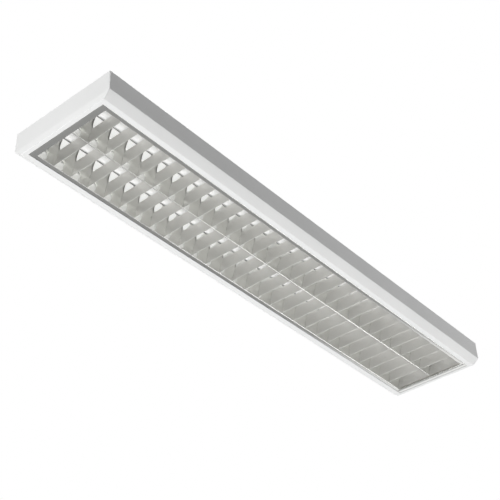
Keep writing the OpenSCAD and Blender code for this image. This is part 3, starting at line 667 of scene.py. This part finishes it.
# Lamp tubes
# Opal polycarbonate tubes, 16 mm across and 1449 mm long, whose aluminium caps
# are crimped on and carry two brass pins each. The strip and its emitters lie
# inside, above the axis, and don't show through the opal wall.
tray_z, lamp_drop, lamp_end_room = 0.0655, 0.0105, 0.0255
lamp_z = tray_z - lamp_drop
lamp_half = half_l - lamp_end_room
tube_r, tube_wall = 0.008, 0.0008
cap_l, cap_lap, cap_fit = 0.014, 0.004, 0.00002
cap_wall, cap_hole_r = 0.0012, 0.0004
pin_pitch, pin_r, pin_l = 0.00475, 0.0012, 0.0072
pin_root, pin_taper, pin_point = 0.0015, 0.0007, 0.0002
tube_sides, cap_sides, pin_sides = 64, 48, 20


def spun(name, profile, across, height, sides, shut=False):
    """A profile of (along, radius) turned round an axis along X, shut if it ends at its start."""
    profile = np.asarray(profile)
    around = np.linspace(0, 2 * np.pi, sides, endpoint=False)
    points = np.stack(np.broadcast_arrays(
        profile[:, :1], across + profile[:, 1:] * np.cos(around),
        height - body_h + profile[:, 1:] * np.sin(around)), -1).reshape(-1, 3)
    faces = woven(len(profile), sides, shut)
    if not shut:
        last = (len(profile) - 1) * sides
        faces += [list(range(sides))[::-1], list(range(last, last + sides))]
    mesh = bpy.data.meshes.new(name)
    mesh.from_pydata(points.tolist(), [], faces)
    return mesh


# Moulded and extruded plastic or rubber: the mould's fine bloom, and slight clouds in the tone.
plastic_skin, plastic_in, plastic_out = effect(
    "plastic_skin",
    [("Place", "Vector", None), ("Tone", "Color", (0.8, 0.8, 0.8, 1)),
     ("Cloud Tone", "Color", (0.75, 0.75, 0.75, 1)), ("Gloss", "Float", 0.4),
     ("Bloom", "Float", 900.0)],
    [("Colour", "Color"), ("Roughness", "Float"), ("Height", "Float")])
plastic_cloud = noise_in(plastic_skin, plastic_in.outputs["Place"], scale=30.0, detail=3.0)
plastic_bloom = plastic_skin.nodes.new("ShaderNodeTexNoise")
plastic_bloom.inputs["Detail"].default_value = 2.0
plastic_skin.links.new(plastic_in.outputs["Place"], plastic_bloom.inputs["Vector"])
plastic_skin.links.new(plastic_in.outputs["Bloom"], plastic_bloom.inputs["Scale"])
plastic_skin.links.new(
    mixed(plastic_skin, ranged(plastic_skin, plastic_cloud, 0.0, 1.0), plastic_in.outputs["Tone"],
          plastic_in.outputs["Cloud Tone"]),
    plastic_out.inputs["Colour"])
plastic_skin.links.new(
    added(plastic_skin, plastic_in.outputs["Gloss"],
          ranged(plastic_skin, plastic_bloom.outputs["Fac"], -0.04, 0.06)),
    plastic_out.inputs["Roughness"])
plastic_skin.links.new(plastic_bloom.outputs["Fac"], plastic_out.inputs["Height"])


def moulded(name, tone, cloud_tone, gloss, relief=0.00001, bloom=900.0):
    """A plastic or rubber of that tone, clouded with the second one."""
    return surfaced(
        name, plastic_skin,
        {"Tone": (*tone, 1), "Cloud Tone": (*cloud_tone, 1), "Gloss": gloss, "Bloom": bloom},
        relief)


# The opal is a mid grey with a faint glow of its own: painted light standing in for the light that
# reaches the tubes inside the troughs.
opal_tube = moulded(
    "opal_tube", (0.50, 0.50, 0.495), (0.49, 0.49, 0.485), gloss=0.3, relief=0.000003,
    bloom=1500.0)
opal_painted_glow = opal_tube.node_tree.nodes["Principled BSDF"].inputs
opal_painted_glow["Emission Color"].default_value = (1.0, 0.995, 0.98, 1.0)
opal_painted_glow["Emission Strength"].default_value = 0.38
cap_aluminium = bare_metal(
    "cap_aluminium", (0.80, 0.80, 0.79), (0.75, 0.75, 0.74), lines=(1600, 60, 60),
    gloss=0.32, spread=0.05, relief=0.000006)
pin_brass = bare_metal(
    "pin_brass", (0.80, 0.66, 0.38), (0.70, 0.56, 0.30), lines=(60, 1800, 1800),
    gloss=0.25, spread=0.06, relief=0.000004)

cap_start = lamp_half - cap_l
tube_end = cap_start + cap_lap
# A cap's outline: from its open edge inwards over the crimped ring, from its closed end back
# round the corner into the dish, and then the inner face. Each is (along, beyond the tube).
crimp = [(0.0, cap_fit), (0.0, 0.0002), (0.0003, 0.0003), (0.0024, 0.0003), (0.0028, 0.00005),
         (0.0034, 0.00005), (0.0038, 0.0003)]
dish = [(0.0010, 0.0003), (0.0003, 0.0), (0.0, -0.0007), (0.0, -0.0022), (0.0005, -0.0024),
        (0.0005, cap_hole_r - tube_r), (cap_wall, cap_hole_r - tube_r), (cap_wall, -cap_wall)]
shell = np.array([(cap_start + along, tube_r + out) for along, out in crimp]
                 + [(lamp_half - along, tube_r + out) for along, out in dish]
                 + [(tube_end, tube_r - cap_wall), (tube_end, tube_r + cap_fit)])
pin_end = lamp_half + pin_l
pin_line = np.array([(lamp_half - pin_root, pin_r), (pin_end - pin_taper, pin_r),
                     (pin_end - pin_point, pin_r * 0.8), (pin_end, pin_r * 0.4)])
for side, row in ((1, "left"), (-1, "right")):
    body = "lamp_" + row
    y = side * row_y
    wall = [(-tube_end, tube_r), (tube_end, tube_r), (tube_end, tube_r - tube_wall),
            (-tube_end, tube_r - tube_wall)]
    tube = spun("tube", wall, y, lamp_z, tube_sides, shut=True)
    fitted("opal_tube_" + row, tube, body, opal_tube, ["tube_" + row])
    for way, end in ((-1, "near"), (1, "far")):
        cap = spun("cap", shell * (way, 1), y, lamp_z, cap_sides, shut=True)
        fitted(f"tube_cap_{end}_{row}_crimped", cap, body, cap_aluminium,
               [f"tube_cap_{end}_{row}"])
        for pair, offset in (("a", -pin_pitch / 2), ("b", pin_pitch / 2)):
            pin = spun("pin", pin_line * (way, 1), y + offset, lamp_z, pin_sides)
            fitted(f"tube_pin_{end}_{row}_{pair}", pin, body, pin_brass,
                   ["tube_pins_" + row])

# Gear tray
# A shallow tray folded from 0.8 mm steel with a white coil coating. It carries
# all the gear, closes the back above the lamps and rests on two zinc-plated
# bridges that are welded across the back plate.
record = frame["record"]
body_of = {name: body for body, names in record["behaviour"]["bodies"].items() for name in names}


def softened(name, finish, edge):
    """A CAD piece, its flat faces merged, its round ones smooth, its corners rounded by edge."""
    weld, flat, corner = 1e-6, np.radians(0.5), np.radians(40)
    merged = bmesh.new()
    merged.from_mesh(frame["nodes"][name].data)
    bmesh.ops.remove_doubles(merged, verts=merged.verts, dist=weld)
    bmesh.ops.dissolve_limit(merged, angle_limit=flat, verts=merged.verts, edges=merged.edges)
    mesh = bpy.data.meshes.new(name)
    merged.to_mesh(mesh)
    merged.free()
    mesh.shade_smooth()
    mesh.set_sharp_from_angle(angle=crease)
    mesh.materials.append(finish)
    piece = bpy.data.objects.new(name + "_finished", mesh)
    bpy.context.scene.collection.objects.link(piece)
    bevel = piece.modifiers.new("corner", "BEVEL")
    bevel.width = edge
    bevel.segments = 2
    bevel.limit_method = "ANGLE"
    bevel.angle_limit = corner
    bevel.harden_normals = True
    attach(piece, body_of[name])
    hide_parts(name)


# The tray's coat is a greyer white than the shell's: painted shade for the inside of the housing
# above the lamps.
tray_white = painted(
    "tray_white", (0.76, 0.76, 0.755), (0.73, 0.73, 0.725), gloss=0.42, relief=0.00002)
zinc_steel = bare_metal(
    "zinc_steel", (0.66, 0.67, 0.68), (0.52, 0.53, 0.55), lines=(300, 300, 300),
    gloss=0.38, spread=0.10, relief=0.00001)
softened("gear_tray", tray_white, 0.0003)
for end in ("near", "far"):
    softened("tray_bridge_" + end, zinc_steel, 0.00015)

# Tray locks
# Quarter-turn locks, moulded in white nylon with a coin slot. The shank passes
# through the tray, and its crossbar grips the bridge when turned.
lock_plastic = moulded("lock_plastic", (0.78, 0.78, 0.77), (0.74, 0.74, 0.73), gloss=0.45)
for end in ("near", "far"):
    softened("tray_lock_" + end, lock_plastic, 0.00025)

# Lampholders
# Two-pin holders moulded in white polycarbonate, clipped into the tray with
# their feet. A cream rotor turns in each by a quarter, and holds the pins.
holder_plastic = moulded("holder_plastic", (0.82, 0.82, 0.80), (0.79, 0.79, 0.77), gloss=0.38)
rotor_plastic = moulded("rotor_plastic", (0.76, 0.73, 0.62), (0.72, 0.69, 0.58), gloss=0.42)
for place in ("near_left", "near_right", "far_left", "far_right"):
    softened("lampholder_" + place, holder_plastic, 0.0004)
    softened("rotor_" + place, rotor_plastic, 0.0002)

# Circuit strips
# A glass-fibre board with a white solder mask slides into each tube. Seventy
# emitters with a yellow phosphor are soldered along it and face down.
circuit_white = moulded("circuit_white", (0.82, 0.82, 0.79), (0.78, 0.78, 0.75), gloss=0.35)
emitter_yellow = moulded("emitter_yellow", (0.82, 0.66, 0.16), (0.78, 0.60, 0.12), gloss=0.3)
for row in ("left", "right"):
    softened("led_strip_" + row, circuit_white, 0.00005)
    softened("leds_" + row, emitter_yellow, 0.00005)

# Driver
# A case of coated steel, with a moulded lid and two plug-in connectors. Two
# steel screws hold its ears to the tray.
driver_grey = painted(
    "driver_grey", (0.62, 0.62, 0.62), (0.58, 0.58, 0.58), gloss=0.45, relief=0.00001)
housing_plastic = moulded("housing_plastic", (0.82, 0.82, 0.81), (0.78, 0.78, 0.77), gloss=0.42)
plug_plastic = moulded("plug_plastic", (0.12, 0.12, 0.125), (0.09, 0.09, 0.095), gloss=0.5)
steel_pin = bare_metal(
    "steel_pin", (0.70, 0.70, 0.71), (0.60, 0.60, 0.62), lines=(200, 200, 200),
    gloss=0.25, spread=0.06, relief=0.000006)
softened("driver_case", driver_grey, 0.0006)
softened("driver_lid", housing_plastic, 0.0003)
softened("driver_plugs", plug_plastic, 0.0004)
softened("driver_screws", steel_pin, 0.00015)

# Terminal block and entry
# A screwless block in white polycarbonate, riveted to the tray, with a coloured
# release button for each core. Beside it are the earth screw and, in the back
# plate, a rubber grommet for the mains cable.
button_brown = moulded("button_brown", (0.13, 0.055, 0.025), (0.11, 0.045, 0.02), gloss=0.4)
button_blue = moulded("button_blue", (0.03, 0.10, 0.36), (0.025, 0.085, 0.31), gloss=0.4)
button_green = moulded("button_green", (0.04, 0.24, 0.06), (0.035, 0.20, 0.05), gloss=0.4)
screw_brass = bare_metal(
    "screw_brass", (0.75, 0.60, 0.28), (0.66, 0.50, 0.22), lines=(200, 200, 200),
    gloss=0.3, spread=0.06, relief=0.000006)
rubber_grey = moulded(
    "rubber_grey", (0.09, 0.09, 0.09), (0.07, 0.07, 0.07), gloss=0.65, relief=0.00002)
softened("terminal_block", housing_plastic, 0.0003)
for core, colour in (("line", button_brown), ("neutral", button_blue), ("earth", button_green)):
    softened("button_" + core, colour, 0.00025)
softened("earth_screw", screw_brass, 0.0002)
softened("cable_grommet", rubber_grey, 0.0004)

# Wires
# Sleeved single-core leads from the terminal block to the driver, and from the
# driver to the far lampholders, under moulded clips along the tray.
wire_sleeve = moulded("wire_sleeve", (0.30, 0.30, 0.31), (0.26, 0.26, 0.27), gloss=0.45)
softened("mains_wires", wire_sleeve, 0.0001)
softened("lamp_wires", wire_sleeve, 0.0001)
softened("wire_clips", housing_plastic, 0.0003)

# Hinge and catch
# Zinc-plated brackets in the ends hold turned pins: the louvre's two pins turn
# in the right-hand pair, and its spring clips snap over the left-hand studs.
spring_steel = bare_metal(
    "spring_steel", (0.62, 0.62, 0.63), (0.52, 0.52, 0.54), lines=(900, 6, 900),
    gloss=0.28, spread=0.06, relief=0.000006)
for end in ("near", "far"):
    softened("hinge_bracket_" + end, zinc_steel, 0.00015)
    softened("catch_bracket_" + end, zinc_steel, 0.00015)
    softened("catch_stud_" + end, steel_pin, 0.0002)
    softened("hinge_pin_" + end, steel_pin, 0.0002)
    softened("catch_clip_" + end, spring_steel, 0.0001)
